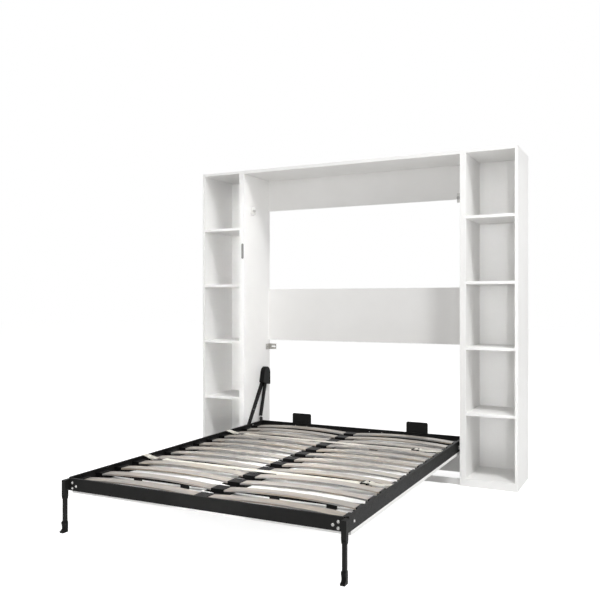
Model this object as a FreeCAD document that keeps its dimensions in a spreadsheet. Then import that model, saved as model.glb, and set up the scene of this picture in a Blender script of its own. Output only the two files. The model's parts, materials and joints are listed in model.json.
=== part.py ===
import FreeCAD, Part
import math
import os

import Sketcher

# A queen-size wall bed: a white cabinet between two open bookcases, and a steel slatted bed
# that turns down out of it on two side arms, helped by gas springs, onto two folding legs.
# Millimetres, +Z up, +Y towards the wall. The origin is on the floor under the middle of the
# space that the open bed and its cabinet take up. Left and right are as seen from the foot.

SIZES = {
    # Cabinet around the bed
    "height": 2170,
    "depth": 400,
    "centre_width": 1666,
    "centre_board": 22,
    "rear_board": 18,
    "top_rail_height": 238,
    "middle_rail_height": 400,
    "middle_rail_base": 892,
    "low_rail_height": 180,
    "plinth_height": 38,
    "plinth_setback": 30,
    # Bookcases
    "tower_width": 343,
    "tower_board": 18,
    "tower_back": 5,
    "tower_plinth": 34,
    "shelf_count": 4,
    "shelf_setback": 2,
    # Wall brackets under the middle rear board
    "bracket_leg": 60,
    "bracket_depth": 64,
    "bracket_height": 44,
    "bracket_sheet": 2.5,
    "bracket_gap": 30,
    "slot_length": 36,
    "slot_radius": 5,
    "slot_inset": 36,
    # Bed pivot and gas spring anchors
    "pivot_height": 238,
    "pivot_rise": 31,
    "panel_recess": 2,
    "top_gap": 4,
    "pivot_radius": 8,
    "pivot_head_radius": 13,
    "pivot_head": 8,
    "pivot_bush_radius": 12,
    "running_gap": 0.08,
    "side_gap": 0.5,
    "bed_gap": 19.5,
    "anchor_inset": 88,
    "anchor_up": 380,
    "lever_back": 168,
    "lever_rise": 18,
    # Pivot arm and its cap
    "arm_sheet": 3.5,
    "arm_head_radius": 26,
    "arm_foot_radius": 21,
    "arm_flange": 7,
    "cap_radius": 49,
    "cap_front_back": 68,
    "cap_front_drop": 67,
    "cap_rear_back": 50,
    "cap_rear_drop": 92,
    "cap_reach": 36,
    "cap_wall": 2.5,
    "cap_chamfer": 3,
    "cap_ahead": 12,
    "cap_lift": 20,
    # Gas spring
    "spring_radius": 13,
    "spring_wall": 1.5,
    "spring_start": 16,
    "rod_show": 18,
    "spring_gap": 0.75,
    "rod_radius": 4,
    "guide_length": 14,
    "piston_start": 20,
    "piston_length": 16,
    "piston_gap": 0.5,
    "eye_radius": 10,
    "eye_width": 10,
    "eye_pin_radius": 5,
    "eye_pin_head_radius": 8,
    "eye_pin_head": 2.5,
    "stud_radius": 5,
    # Closing stops
    "stop_drop": 323,
    "stop_height": 62,
    "stop_reach": 43,
    "stop_depth": 45,
    "stop_sheet": 3,
    "buffer_radius": 10,
    "buffer_length": 10,
    "buffer_gap": 0.5,
    # Safety latch on the left front edge
    "latch_drop": 543,
    "latch_length": 113,
    "latch_width": 18,
    "latch_sheet": 3,
    "latch_gap": 0.4,
    "latch_pin_radius": 2,
    "latch_pin_bite": 14,
    "latch_pin_head": 2.2,
    "latch_pin_head_radius": 4.5,
    # Bed frame
    "frame_tail": 192,
    "rail_height": 70,
    "rail_flange": 12,
    "rail_wall": 2.5,
    "front_rail_lift": 6.5,
    "front_rail_round": 12,
    "panel_thick": 18,
    "panel_front_inset": 44,
    "panel_rear_inset": 2,
    "gusset_length": 60,
    "beam_width": 40,
    "tube_width": 20,
    "tube_height": 22,
    "tube_lift": 12,
    "clip_width": 56,
    "clip_leg": 20,
    "clip_rise": 32,
    "clip_inner": 268,
    "clip_inset": 211,
    "lug_sheet": 4,
    "lug_half": 20,
    "lug_rise": 30,
    # Slats and their holders
    "slat_rows": 13,
    "slat_first": 97,
    "slat_last": 127,
    "slat_width": 68,
    "slat_thick": 8,
    "slat_bow": 18,
    "slat_rise": 39,
    "slat_inset": 30,
    "slat_middle": 12,
    "holder_gap": 0.3,
    "holder_wall": 3,
    "seat_height": 9,
    "shoe_foot": 26,
    "shoe_mouth": 48,
    "shoe_lip": 62,
    "cap_half": 37,
    "lip_half": 70,
    # Mattress stops and straps on the frame
    "rest_width": 155,
    "rest_rise": 73,
    "rest_hold": 45,
    "rest_sheet": 3,
    "rest_place": 449,
    "rest_round": 12,
    "strap_width": 50,
    "strap_thick": 2,
    "strap_gap": 0.3,
    "strap_drop": 49,
    "strap_level": 16,
    "strap_fold": 16,
    "strap_ramp": 72,
    "front_strap_row": 3.5,
    "rear_strap_row": 9.5,
    "buckle_length": 50,
    "buckle_width": 46,
    "buckle_thick": 6,
    "buckle_chamfer": 4,
    "front_buckle_inset": 160,
    "rear_buckle_inset": 184,
    # Folding legs
    "post_width": 24,
    "post_depth": 46,
    "post_ahead": 26,
    "post_out": 7,
    "post_sink": 8,
    "post_drop": 2,
    "leg_wall": 2,
    "leg_top_gap": 1,
    "leg_ear_radius": 9.5,
    "leg_pin_radius": 4,
    "foot_height": 57,
    "foot_wall": 2,
    "foot_rear_wall": 1.5,
    "foot_socket": 40,
    "foot_chamfer": 3,
    "toe_nose": 18,
    "toe_height": 9,
    "beak_nose": 6,
    "beak_drop": 7,
    "waist_wall": 1.5,
    "waist_height": 26,
}

doc = FreeCAD.newDocument("wall_bed")
sheet = doc.addObject("Spreadsheet::Sheet", "Sizes")
for row, (alias, number) in enumerate(SIZES.items(), start=1):
    sheet.set(f"A{row}", alias)
    sheet.set(f"B{row}", str(number))
    sheet.setAlias(f"B{row}", alias)
doc.recompute()


class Size:
    """A length that holds its number and the sheet expression that it follows."""

    def __init__(self, number, text):
        self.number = number
        self.text = text

    def __add__(self, other):
        other = as_size(other)
        return Size(self.number + other.number, f"({self.text} + {other.text})")

    def __sub__(self, other):
        other = as_size(other)
        return Size(self.number - other.number, f"({self.text} - {other.text})")

    def __mul__(self, other):
        other = as_size(other)
        return Size(self.number * other.number, f"({self.text} * {other.text})")

    def __truediv__(self, other):
        other = as_size(other)
        return Size(self.number / other.number, f"({self.text} / {other.text})")

    def __neg__(self):
        return Size(-self.number, f"(0 - {self.text})")

    def __radd__(self, other):
        return as_size(other) + self

    def __rsub__(self, other):
        return as_size(other) - self

    def __rmul__(self, other):
        return as_size(other) * self


def as_size(value):
    return value if isinstance(value, Size) else Size(float(value), f"({float(value)})")


def root(size):
    return Size(math.sqrt(size.number), f"sqrt({size.text})")


class Named:
    """The sheet's sizes, each under its alias."""

    def __getattr__(self, alias):
        return Size(float(sheet.get(alias)), "Sizes." + alias)


s = Named()

# Places worked out from the driving dimensions
inner_half = s.centre_width / 2 - s.centre_board
tower_start = s.centre_width / 2
tower_end = tower_start + s.tower_width
spring_x = inner_half - s.arm_sheet - s.spring_gap - s.spring_radius
bed_half = inner_half - s.arm_sheet - s.bed_gap
rail_base = s.pivot_height - s.pivot_rise
panel_base = rail_base - s.panel_thick
post_base = panel_base - s.post_drop
leg_half = s.post_width / 2 - s.rail_wall - s.side_gap
leg_pivot_height = post_base - leg_half - s.leg_top_gap
waist_reach = leg_half + s.waist_wall
toe_reach = waist_reach + s.toe_nose
pivot_inset = s.pivot_rise + s.panel_thick + s.panel_recess
frame_reach = s.height - s.centre_board - s.pivot_height - s.top_gap
leg_middle = s.post_width / 2
front_plane = (frame_reach - pivot_inset - leg_middle + toe_reach - s.depth) / 2
back_plane = front_plane + s.depth
pivot_y = front_plane + pivot_inset
anchor_back = s.depth - pivot_inset - s.anchor_inset
anchor_y = pivot_y + anchor_back
anchor_z = s.pivot_height + s.anchor_up
lever_up = s.rail_height - s.pivot_rise + s.lever_rise
lever_y = pivot_y + s.lever_back
lever_z = s.pivot_height + lever_up
web_inner = bed_half - s.rail_wall
flange_edge = bed_half - s.rail_flange
post_outer = bed_half + s.post_out
post_inner = post_outer - s.post_width
post_front = pivot_y - frame_reach
frame_front = post_front + s.post_ahead
frame_rear = pivot_y + s.frame_tail
post_rear = post_front + s.post_depth
rail_top = rail_base + s.rail_height
front_base = rail_base + s.front_rail_lift
rail_floor = rail_base + s.rail_wall
rail_roof = rail_top - s.rail_wall
first_slat = frame_front + s.slat_first
slat_pitch = (frame_rear - s.slat_last - first_slat) / (s.slat_rows - 1)
slat_under = rail_base + s.slat_rise
leg_y = post_front + leg_middle
leg_x = post_outer - leg_middle

X_AXIS = FreeCAD.Vector(1, 0, 0)
Y_AXIS = FreeCAD.Vector(0, 1, 0)
Z_AXIS = FreeCAD.Vector(0, 0, 1)
# Cosine and sine of half a right angle, for the middle of a quarter arc
HALF_TURN = math.sqrt(0.5)
# How close two lengths, and the cosine between two directions, come to count as the same
MATCH = 0.001
PARALLEL = 0.999
# Slat rows, counted from the first, with a cross tube between each of these and the next
TUBE_ROWS = (1.5, 4.5, 10.5)
pieces = []


def piece(thing, label):
    """Register a finished sub-part under the name of its node."""
    thing.Label = label
    pieces.append(thing)
    return thing


def bind(thing, prop, size):
    thing.setExpression(prop, as_size(size).text)


def place(thing, x, y, z, rotation=None):
    thing.Placement = FreeCAD.Placement(FreeCAD.Vector(), rotation or FreeCAD.Rotation())
    for letter, size in zip("xyz", (x, y, z)):
        bind(thing, f"Placement.Base.{letter}", size)


def vector(x, y, z):
    return FreeCAD.Vector(*(as_size(size).number for size in (x, y, z)))


def box(name, low, high):
    """A board or bar between two opposite corners."""
    thing = doc.addObject("Part::Box", name)
    for prop, start, end in zip(("Length", "Width", "Height"), low, high):
        bind(thing, prop, as_size(end) - start)
    place(thing, *low)
    return thing


def cylinder(name, axis, radius, length, start):
    """A round bar that starts at a point and runs along an axis."""
    thing = doc.addObject("Part::Cylinder", name)
    bind(thing, "Radius", radius)
    bind(thing, "Height", length)
    place(thing, *start, FreeCAD.Rotation(Z_AXIS, axis))
    return thing


def group(name, members):
    thing = doc.addObject("Part::Compound", name)
    thing.Links = members
    return thing


def fused(name, members):
    thing = doc.addObject("Part::MultiFuse", name)
    thing.Shapes = members
    thing.Refine = True
    return thing


def cut(name, base, tool):
    thing = doc.addObject("Part::Cut", name)
    thing.Base = base
    thing.Tool = tool
    return thing


def mirrored(name, source):
    thing = doc.addObject("Part::Mirroring", name)
    thing.Source = source
    thing.Normal = X_AXIS
    return thing


def pair(name, left):
    """The left piece and its mirror image, as one group."""
    return group(name, [left, mirrored(name + "_right", left)])


def left_and_right(label, left):
    """The left piece and its mirror image, as two nodes."""
    piece(left, "left_" + label)
    piece(mirrored(label + "_mirror", left), "right_" + label)


def draw(sketch, outline):
    """Close an outline of corners (a, b), or (a, b, mid_a, mid_b) where an arc leads there."""
    ends = [vector(corner[0], corner[1], 0) for corner in outline]
    edges = []
    for index, end in enumerate(ends):
        corner = outline[index]
        start = ends[index - 1]
        if len(corner) == 2:
            curve = Part.LineSegment(start, end)
        else:
            curve = Part.Arc(start, vector(corner[2], corner[3], 0), end)
        number = sketch.addGeometry(curve)
        forward = sketch.getPoint(number, 1).distanceToPoint(start) < MATCH
        edges.append((number, 1, 2) if forward else (number, 2, 1))
    for index, (number, _, last) in enumerate(edges):
        following, first, _ = edges[(index + 1) % len(edges)]
        sketch.addConstraint(Sketcher.Constraint("Coincident", number, last, following, first))
    for (number, _, last), corner in zip(edges, outline):
        for kind, size in (("DistanceX", corner[0]), ("DistanceY", corner[1])):
            limit = Sketcher.Constraint(kind, -1, 1, number, last, as_size(size).number)
            bind(sketch, f"Constraints[{sketch.addConstraint(limit)}]", size)


def origin_feature(body, role):
    return next(feature for feature in body.Origin.OriginFeatures if feature.Role == role)


def sketched(name, plane, outline):
    """A new body with an outline on one of its origin planes."""
    body = doc.addObject("PartDesign::Body", name)
    sketch = body.newObject("Sketcher::SketchObject", name + "_outline")
    sketch.AttachmentSupport = [(origin_feature(body, plane + "_Plane"), "")]
    sketch.MapMode = "FlatFace"
    draw(sketch, outline)
    return body, sketch


def profile(name, plane, outline, thickness, centre, rotation=None):
    """An outline padded to both sides of its plane."""
    body, sketch = sketched(name, plane, outline)
    pad = body.newObject("PartDesign::Pad", name + "_pad")
    pad.Profile = sketch
    pad.Midplane = True
    bind(pad, "Length", thickness)
    place(body, *centre, rotation)
    return body


def turned(name, outline, centre, rotation):
    """An outline of (radius, height) corners turned about the body's Z axis."""
    body, sketch = sketched(name, "XZ", outline)
    turn = body.newObject("PartDesign::Revolution", name + "_turn")
    turn.Profile = sketch
    turn.ReferenceAxis = (origin_feature(body, "Z_Axis"), [""])
    turn.Angle = 360
    place(body, *centre, rotation)
    return body


def repeat(body, count, pitch):
    """Repeat a body's last feature along Y."""
    rows = body.newObject("PartDesign::LinearPattern", body.Name + "_rows")
    rows.Originals = [body.Group[-2]]
    rows.Direction = (origin_feature(body, "Y_Axis"), [""])
    rows.Mode = "Spacing"
    bind(rows, "Offset", pitch)
    bind(rows, "Occurrences", count)
    body.Tip = rows
    return body


def eased(kind, name, base, reach, chosen):
    """Fillet or chamfer the edges of a solid that the test picks out."""
    doc.recompute()
    size = as_size(reach).number
    thing = doc.addObject("Part::" + kind, name)
    thing.Base = base
    thing.Edges = [
        (number, size, size)
        for number, edge in enumerate(base.Shape.Edges, start=1)
        if chosen(edge)
    ]
    return thing


def runs_along(edge, axis):
    if not isinstance(edge.Curve, Part.Line):
        return False
    return abs(edge.Curve.Direction.dot(axis)) > PARALLEL


# Safety latch: a bar that hangs on the cabinet's front edge and turns across the closed bed
latch_x = -tower_start + s.centre_board / 2
latch_half = s.latch_width / 2
latch_pivot = s.height - s.latch_drop - latch_half
latch_tail = s.latch_length - s.latch_width
latch_face = front_plane - s.latch_gap - s.latch_sheet
latch_seat = latch_face - s.latch_gap
latch_bar = profile(
    "latch_bar",
    "XZ",
    [
        (-latch_half, 0),
        (latch_half, 0, 0, latch_half),
        (latch_half, -latch_tail),
        (-latch_half, -latch_tail, 0, -latch_tail - latch_half),
    ],
    s.latch_sheet,
    (latch_x, latch_face + s.latch_sheet / 2, latch_pivot),
)
latch_hole = cylinder(
    "latch_hole",
    Y_AXIS,
    s.latch_pin_radius + s.running_gap,
    s.latch_sheet,
    (latch_x, latch_face, latch_pivot),
)
piece(cut("latch", latch_bar, latch_hole), "safety_latch")
latch_pin = turned(
    "latch_screw",
    [
        (0, -s.latch_pin_head),
        (s.latch_pin_head_radius, -s.latch_pin_head),
        (s.latch_pin_head_radius, 0),
        (s.latch_pin_radius, 0),
        (s.latch_pin_radius, s.latch_pin_bite),
        (0, s.latch_pin_bite),
    ],
    (latch_x, latch_seat, latch_pivot),
    FreeCAD.Rotation(Z_AXIS, Y_AXIS),
)
piece(latch_pin, "latch_pin")

# Cabinet around the bed
left_side = box(
    "left_side",
    (-tower_start, front_plane, 0),
    (-inner_half, back_plane, s.height),
)
piece(cut("left_side_bored", left_side, latch_pin), "centre_side_left")
piece(mirrored("right_side", left_side), "centre_side_right")
rear_face = back_plane - s.rear_board
under_top = s.height - s.centre_board
plinth_front = front_plane + s.plinth_setback
middle_rail_top = s.middle_rail_base + s.middle_rail_height
centre_boards = {
    "centre_top": (front_plane, back_plane, under_top, s.height),
    "centre_plinth": (plinth_front, plinth_front + s.rear_board, 0, s.plinth_height),
    "rear_rail_top": (rear_face, back_plane, under_top - s.top_rail_height, under_top),
    "rear_rail_middle": (rear_face, back_plane, s.middle_rail_base, middle_rail_top),
    "rear_rail_low": (rear_face, back_plane, 0, s.low_rail_height),
}
for label, (near, far, low, high) in centre_boards.items():
    piece(box(label + "_board", (-inner_half, near, low), (inner_half, far, high)), label)

# Bookcases: boards and equally spaced shelves between the two sides of each
shelf_base = s.tower_plinth + s.tower_board
shelf_room = s.height - s.tower_board - shelf_base - s.shelf_count * s.tower_board
shelf_step = shelf_room / (s.shelf_count + 1) + s.tower_board
shelf_levels = [
    shelf_base + shelf_step * (number + 1) - s.tower_board
    for number in range(int(s.shelf_count.number))
]
case_start = -tower_end + s.tower_board
case_end = -tower_start - s.tower_board
shelf_back = back_plane - s.tower_back
outer_side = box(
    "outer_side",
    (-tower_end, front_plane, 0),
    (case_start, back_plane, s.height),
)
inner_side = box(
    "inner_side",
    (case_end, front_plane, 0),
    (-tower_start, back_plane, s.height),
)
left_and_right("tower_outer_side", outer_side)
left_and_right("tower_inner_side", inner_side)
tower_boards = {
    "tower_tops": (front_plane, shelf_back, s.height - s.tower_board, s.height),
    "tower_bottoms": (front_plane, shelf_back, s.tower_plinth, shelf_base),
    "tower_plinths": (front_plane, front_plane + s.tower_board, 0, s.tower_plinth),
    "tower_backs": (shelf_back, back_plane, s.tower_plinth, s.height),
}
for label, (near, far, low, high) in tower_boards.items():
    board = box(label + "_left", (case_start, near, low), (case_end, far, high))
    piece(pair(label + "_boards", board), label)
shelves = [
    box(
        f"shelf_{number}",
        (case_start, front_plane + s.shelf_setback, level),
        (case_end, shelf_back, level + s.tower_board),
    )
    for number, level in enumerate(shelf_levels)
]
left_and_right("tower_shelves", group("shelves", shelves))

# Wall brackets: an angle on each side board with a slot for a wall screw
bracket_top = s.middle_rail_base - s.bracket_gap
bracket_base = bracket_top - s.bracket_height
slot_x = -inner_half + s.slot_inset
slot_half = s.slot_length / 2 - s.slot_radius
angle = fused(
    "angle",
    [
        box(
            "side_leg",
            (-inner_half, back_plane - s.bracket_depth, bracket_base),
            (-inner_half + s.bracket_sheet, back_plane, bracket_top),
        ),
        box(
            "wall_leg",
            (-inner_half, back_plane - s.bracket_sheet, bracket_base),
            (-inner_half + s.bracket_leg, back_plane, bracket_top),
        ),
    ],
)
slot = profile(
    "slot",
    "XZ",
    [
        (-slot_half, -s.slot_radius, -slot_half - s.slot_radius, 0),
        (slot_half, -s.slot_radius),
        (slot_half, s.slot_radius, slot_half + s.slot_radius, 0),
        (-slot_half, s.slot_radius),
    ],
    s.bracket_sheet,
    (slot_x, back_plane - s.bracket_sheet / 2, bracket_base + s.bracket_height / 2),
)
piece(pair("slotted_angles", cut("slotted_angle", angle, slot)), "wall_brackets")

# Closing stops: an angle on the side board with a rubber buffer for the closed frame
stop_front = pivot_y + rail_top - s.pivot_height + s.buffer_gap + s.buffer_length
stop_base = s.height - s.stop_drop
stop_top = stop_base + s.stop_height
stop_angle = fused(
    "stop_angle",
    [
        box(
            "stop_side",
            (-inner_half, stop_front, stop_base),
            (-inner_half + s.stop_sheet, stop_front + s.stop_depth, stop_top),
        ),
        box(
            "stop_face",
            (-inner_half, stop_front, stop_base),
            (-inner_half + s.stop_reach, stop_front + s.stop_sheet, stop_top),
        ),
    ],
)
piece(pair("stop_angles", stop_angle), "closing_stops")
buffer = cylinder(
    "buffer",
    Y_AXIS,
    s.buffer_radius,
    s.buffer_length,
    (
        -inner_half + s.stop_reach - s.buffer_radius,
        stop_front - s.buffer_length,
        stop_base + s.stop_height / 2,
    ),
)
piece(pair("buffers", buffer), "stop_buffers")

# Pivot arms: a tapered plate from the pivot up to the spring anchor, folded along its front edge
arm_length = root(anchor_back * anchor_back + s.anchor_up * s.anchor_up)
arm_lean = math.degrees(math.atan2(anchor_back.number, s.anchor_up.number))
along_arm = FreeCAD.Rotation(X_AXIS, -arm_lean)
taper = (s.arm_head_radius - s.arm_foot_radius) / arm_length
spread = root(1 - taper * taper)


def arm_point(radius, level, side):
    """Where the arm's straight edge leaves the round end of that radius."""
    return radius * spread * side, level - radius * taper


foot_radius = s.arm_foot_radius
head_radius = s.arm_head_radius
arm_plate = profile(
    "arm_plate",
    "YZ",
    [
        (*arm_point(foot_radius, 0, 1), 0, -foot_radius),
        arm_point(head_radius, arm_length, 1),
        (*arm_point(head_radius, arm_length, -1), 0, arm_length + head_radius),
        arm_point(foot_radius, 0, -1),
    ],
    s.arm_sheet,
    (-inner_half + s.arm_sheet / 2, pivot_y, s.pivot_height),
    along_arm,
)
fold_depth = s.arm_sheet + s.arm_flange
arm_fold = profile(
    "arm_fold",
    "YZ",
    [
        arm_point(foot_radius, 0, -1),
        arm_point(head_radius, arm_length, -1),
        arm_point(head_radius - s.arm_sheet, arm_length, -1),
        arm_point(foot_radius - s.arm_sheet, 0, -1),
    ],
    fold_depth,
    (-inner_half + fold_depth / 2, pivot_y, s.pivot_height),
    along_arm,
)
pivot_place = (-inner_half, pivot_y, s.pivot_height)
pivot_hole = cylinder("pivot_hole", X_AXIS, s.pivot_radius, s.arm_sheet, pivot_place)
left_arm = cut("left_arm", fused("arm_blank", [arm_plate, arm_fold]), pivot_hole)
left_and_right("pivot_arm", left_arm)

# Shouldered pivot bolts, and the studs on the arms that hold the gas springs' upper eyes
bush_end = inner_half - bed_half - s.side_gap
head_start = inner_half - web_inner + s.side_gap
pivot_bolt = turned(
    "pivot_bolt",
    [
        (0, 0),
        (s.pivot_radius, 0),
        (s.pivot_radius, s.arm_sheet),
        (s.pivot_bush_radius, s.arm_sheet),
        (s.pivot_bush_radius, bush_end),
        (s.pivot_radius, bush_end),
        (s.pivot_radius, head_start),
        (s.pivot_head_radius, head_start),
        (s.pivot_head_radius, head_start + s.pivot_head),
        (0, head_start + s.pivot_head),
    ],
    pivot_place,
    FreeCAD.Rotation(Z_AXIS, X_AXIS),
)
piece(pair("pivots", pivot_bolt), "pivot_bolts")
pin_end = inner_half - spring_x + s.eye_width / 2 + s.side_gap
top_pin = turned(
    "top_pin",
    [
        (0, s.arm_sheet),
        (s.eye_pin_radius, s.arm_sheet),
        (s.eye_pin_radius, pin_end),
        (s.eye_pin_head_radius, pin_end),
        (s.eye_pin_head_radius, pin_end + s.eye_pin_head),
        (0, pin_end + s.eye_pin_head),
    ],
    (-inner_half, anchor_y, anchor_z),
    FreeCAD.Rotation(Z_AXIS, X_AXIS),
)
piece(pair("top_pins", top_pin), "spring_top_pins")


def tangent_point(back, drop, radius, side):
    """Where a line from a low corner touches a circle about zero, on one side of it."""
    far = back * back + drop * drop
    share = radius * radius / far
    swing = side * radius * root(far - radius * radius) / far
    return back * share - drop * swing, drop * share + back * swing


def cap_outline(shrink):
    """The cap's dome and the two straight edges down to its open foot."""
    radius = s.cap_radius - shrink
    front = (shrink - s.cap_front_back, -s.cap_front_drop - shrink)
    rear = (s.cap_rear_back - shrink, -s.cap_rear_drop - shrink)
    front_touch = tangent_point(*front, radius, -1)
    rear_touch = tangent_point(*rear, radius, 1)
    crown = (radius * HALF_TURN, radius * HALF_TURN)
    return [front, front_touch, (*rear_touch, *crown), rear]


# Caps over the arm heads: a domed shell, open to the board and at its foot
cap_middle = -inner_half + s.cap_reach / 2
cap_y = anchor_y - s.cap_ahead
cap_z = anchor_z + s.cap_lift
cap_shell = profile("cap_shell", "YZ", cap_outline(0), s.cap_reach, (cap_middle, cap_y, cap_z))
cap_face = (-inner_half + s.cap_reach).number
cap_foot = (cap_z - s.cap_front_drop).number
cap_eased = eased(
    "Chamfer",
    "cap_eased",
    cap_shell,
    s.cap_chamfer,
    lambda edge: edge.BoundBox.XMin > cap_face - MATCH and edge.BoundBox.ZMax > cap_foot + MATCH,
)
hollow_place = (cap_middle - s.cap_wall, cap_y, cap_z)
cap_hollow = profile("cap_hollow", "YZ", cap_outline(s.cap_wall), s.cap_reach, hollow_place)
piece(pair("caps", cut("left_cap", cap_eased, cap_hollow)), "arm_caps")

# Gas springs: a cylinder hung from the arm and a piston rod that reaches the bed's lug
spring_back = anchor_back - s.lever_back
spring_drop = s.anchor_up - lever_up
rest_length = root(spring_back * spring_back + spring_drop * spring_drop)
spring_end = rest_length - s.rod_show
spring_line = vector(0, -spring_back, -spring_drop).normalize()
along_spring = FreeCAD.Rotation(Z_AXIS, spring_line)
spring_place = (-spring_x, anchor_y, anchor_z)
spring_bore = s.spring_radius - s.spring_wall
rod_hole = s.rod_radius + s.running_gap
barrel = turned(
    "barrel",
    [
        (0, 0),
        (s.rod_radius, 0),
        (s.rod_radius, s.spring_start),
        (s.spring_radius, s.spring_start),
        (s.spring_radius, spring_end),
        (rod_hole, spring_end),
        (rod_hole, spring_end - s.guide_length),
        (spring_bore, spring_end - s.guide_length),
        (spring_bore, s.spring_start + s.spring_wall),
        (0, s.spring_start + s.spring_wall),
    ],
    spring_place,
    along_spring,
)
eye_start = -spring_x - s.eye_width / 2
top_ring = cylinder(
    "top_ring", X_AXIS, s.eye_radius, s.eye_width, (eye_start, anchor_y, anchor_z)
)
top_bore = cylinder(
    "top_bore",
    X_AXIS,
    s.eye_pin_radius + s.running_gap,
    s.eye_width,
    (eye_start, anchor_y, anchor_z),
)
left_cylinder = cut("left_cylinder", fused("cylinder_blank", [barrel, top_ring]), top_bore)
left_and_right("gas_cylinder", left_cylinder)
piston_radius = spring_bore - s.piston_gap
piston_end = s.piston_start + s.piston_length
piston_rod = turned(
    "piston_rod",
    [
        (0, s.piston_start),
        (piston_radius, s.piston_start),
        (piston_radius, piston_end),
        (s.rod_radius, piston_end),
        (s.rod_radius, rest_length),
        (0, rest_length),
    ],
    spring_place,
    along_spring,
)
rod_ring = cylinder(
    "rod_ring", X_AXIS, s.eye_radius, s.eye_width, (eye_start, lever_y, lever_z)
)
stud_length = spring_x - bed_half - s.side_gap
stud = cylinder("stud", X_AXIS, s.stud_radius, stud_length, (-spring_x, lever_y, lever_z))
left_and_right("gas_rod", fused("left_rod", [piston_rod, rod_ring, stud]))

# Bed side rails: channels open to the slats, with the pivot bore in the web
rail_hollow = s.rail_height - s.rail_wall
channel = profile(
    "channel",
    "XZ",
    [
        (0, 0),
        (s.rail_flange, 0),
        (s.rail_flange, s.rail_wall),
        (s.rail_wall, s.rail_wall),
        (s.rail_wall, rail_hollow),
        (s.rail_flange, rail_hollow),
        (s.rail_flange, s.rail_height),
        (0, s.rail_height),
    ],
    frame_rear - post_rear,
    (-bed_half, (frame_rear + post_rear) / 2, rail_base),
)
rail_bore = cylinder(
    "rail_bore",
    X_AXIS,
    s.pivot_radius + s.running_gap,
    s.rail_wall,
    (-bed_half, pivot_y, s.pivot_height),
)
left_and_right("side_rail", cut("left_rail", channel, rail_bore))

# Lugs on the side rails, behind the pivot, that the gas springs push on
lug_top = s.lug_rise - s.lug_half * HALF_TURN
lug = profile(
    "lug",
    "YZ",
    [
        (-s.lug_half, 0),
        (s.lug_half, 0),
        (s.lug_half, lug_top),
        (-s.lug_half, lug_top, 0, s.lug_rise),
    ],
    s.lug_sheet,
    (-bed_half + s.lug_sheet / 2, lever_y, rail_top),
)
piece(pair("lugs", lug), "spring_lugs")

# Front rail: a channel open to the back with rounded lower ends, between the corner posts
front_height = rail_top - front_base
front_floor = front_base + s.rail_wall
front_round = s.front_rail_round
round_middle = front_round * (1 - HALF_TURN)
front_straight = post_inner - front_round
front_web = profile(
    "front_web",
    "XZ",
    [
        (-front_straight, 0, -post_inner + round_middle, round_middle),
        (front_straight, 0),
        (post_inner, front_round, post_inner - round_middle, round_middle),
        (post_inner, front_height),
        (-post_inner, front_height),
        (-post_inner, front_round),
    ],
    s.rail_wall,
    (0, frame_front + s.rail_wall / 2, front_base),
)
web_back = frame_front + s.rail_wall
fold_back = frame_front + s.rail_flange
front_folds = [
    box(
        "front_fold_low",
        (-front_straight, web_back, front_base),
        (front_straight, fold_back, front_floor),
    ),
    box(
        "front_fold_high",
        (-post_inner, web_back, rail_roof),
        (post_inner, fold_back, rail_top),
    ),
]
piece(fused("front_channel", [front_web, *front_folds]), "front_rail")

# Rear rail: a channel open to the front, its web between the side rails' flanges,
# with the mattress stops behind it
rear_channel = profile(
    "rear_channel",
    "YZ",
    [
        (0, 0),
        (0, s.rail_height),
        (-s.rail_flange, s.rail_height),
        (-s.rail_flange, rail_hollow),
        (-s.rail_wall, rail_hollow),
        (-s.rail_wall, s.rail_wall),
        (-s.rail_flange, s.rail_wall),
        (-s.rail_flange, 0),
    ],
    2 * flange_edge,
    (0, frame_rear, rail_base),
)
rear_web = box(
    "rear_web",
    (-web_inner, frame_rear - s.rail_wall, rail_base + s.rail_wall),
    (web_inner, frame_rear, rail_roof),
)
piece(fused("rear_bar", [rear_channel, rear_web]), "rear_rail")
rest_half = s.rest_width / 2
rest_plate = profile(
    "rest_plate",
    "XZ",
    [
        (-rest_half, -s.rest_hold),
        (rest_half, -s.rest_hold),
        (rest_half, s.rest_rise),
        (-rest_half, s.rest_rise),
    ],
    s.rest_sheet,
    (-s.rest_place, frame_rear + s.rest_sheet / 2, rail_top),
)
rest_top = (rail_top + s.rest_rise).number
rest_rounded = eased(
    "Fillet",
    "rest_rounded",
    rest_plate,
    s.rest_round,
    lambda edge: runs_along(edge, Y_AXIS) and edge.BoundBox.ZMax > rest_top - MATCH,
)
piece(pair("rests", rest_rounded), "mattress_stops")

# Corner posts: a tube with two ears that hold the leg, and a gusset behind the front rail
post_top = rail_top - s.post_sink
post_shell = cut(
    "post_shell",
    cut(
        "post_stepped",
        box(
            "post_outside",
            (-post_outer, post_front, post_base),
            (-post_inner, post_rear, post_top),
        ),
        box(
            "post_step",
            (-post_outer, post_front + s.post_width, post_base),
            (-post_inner, post_rear, front_base),
        ),
    ),
    box(
        "post_inside",
        (-post_outer + s.rail_wall, post_front + s.rail_wall, post_base),
        (-post_inner - s.rail_wall, post_rear - s.rail_wall, post_top - s.rail_wall),
    ),
)
ear_rise = post_base - leg_pivot_height
ears = [
    profile(
        f"ear_{number}",
        "YZ",
        [
            (-leg_middle, ear_rise),
            (leg_middle, ear_rise),
            (s.leg_ear_radius, 0),
            (-s.leg_ear_radius, 0, 0, -s.leg_ear_radius),
        ],
        s.rail_wall,
        (ear_x, leg_y, leg_pivot_height),
    )
    for number, ear_x in enumerate((-post_outer + s.rail_wall / 2, -post_inner - s.rail_wall / 2))
]
gusset = box(
    "gusset",
    (-post_inner, web_back, front_floor),
    (-post_inner + s.gusset_length, web_back + s.rail_wall, rail_roof),
)
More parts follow.
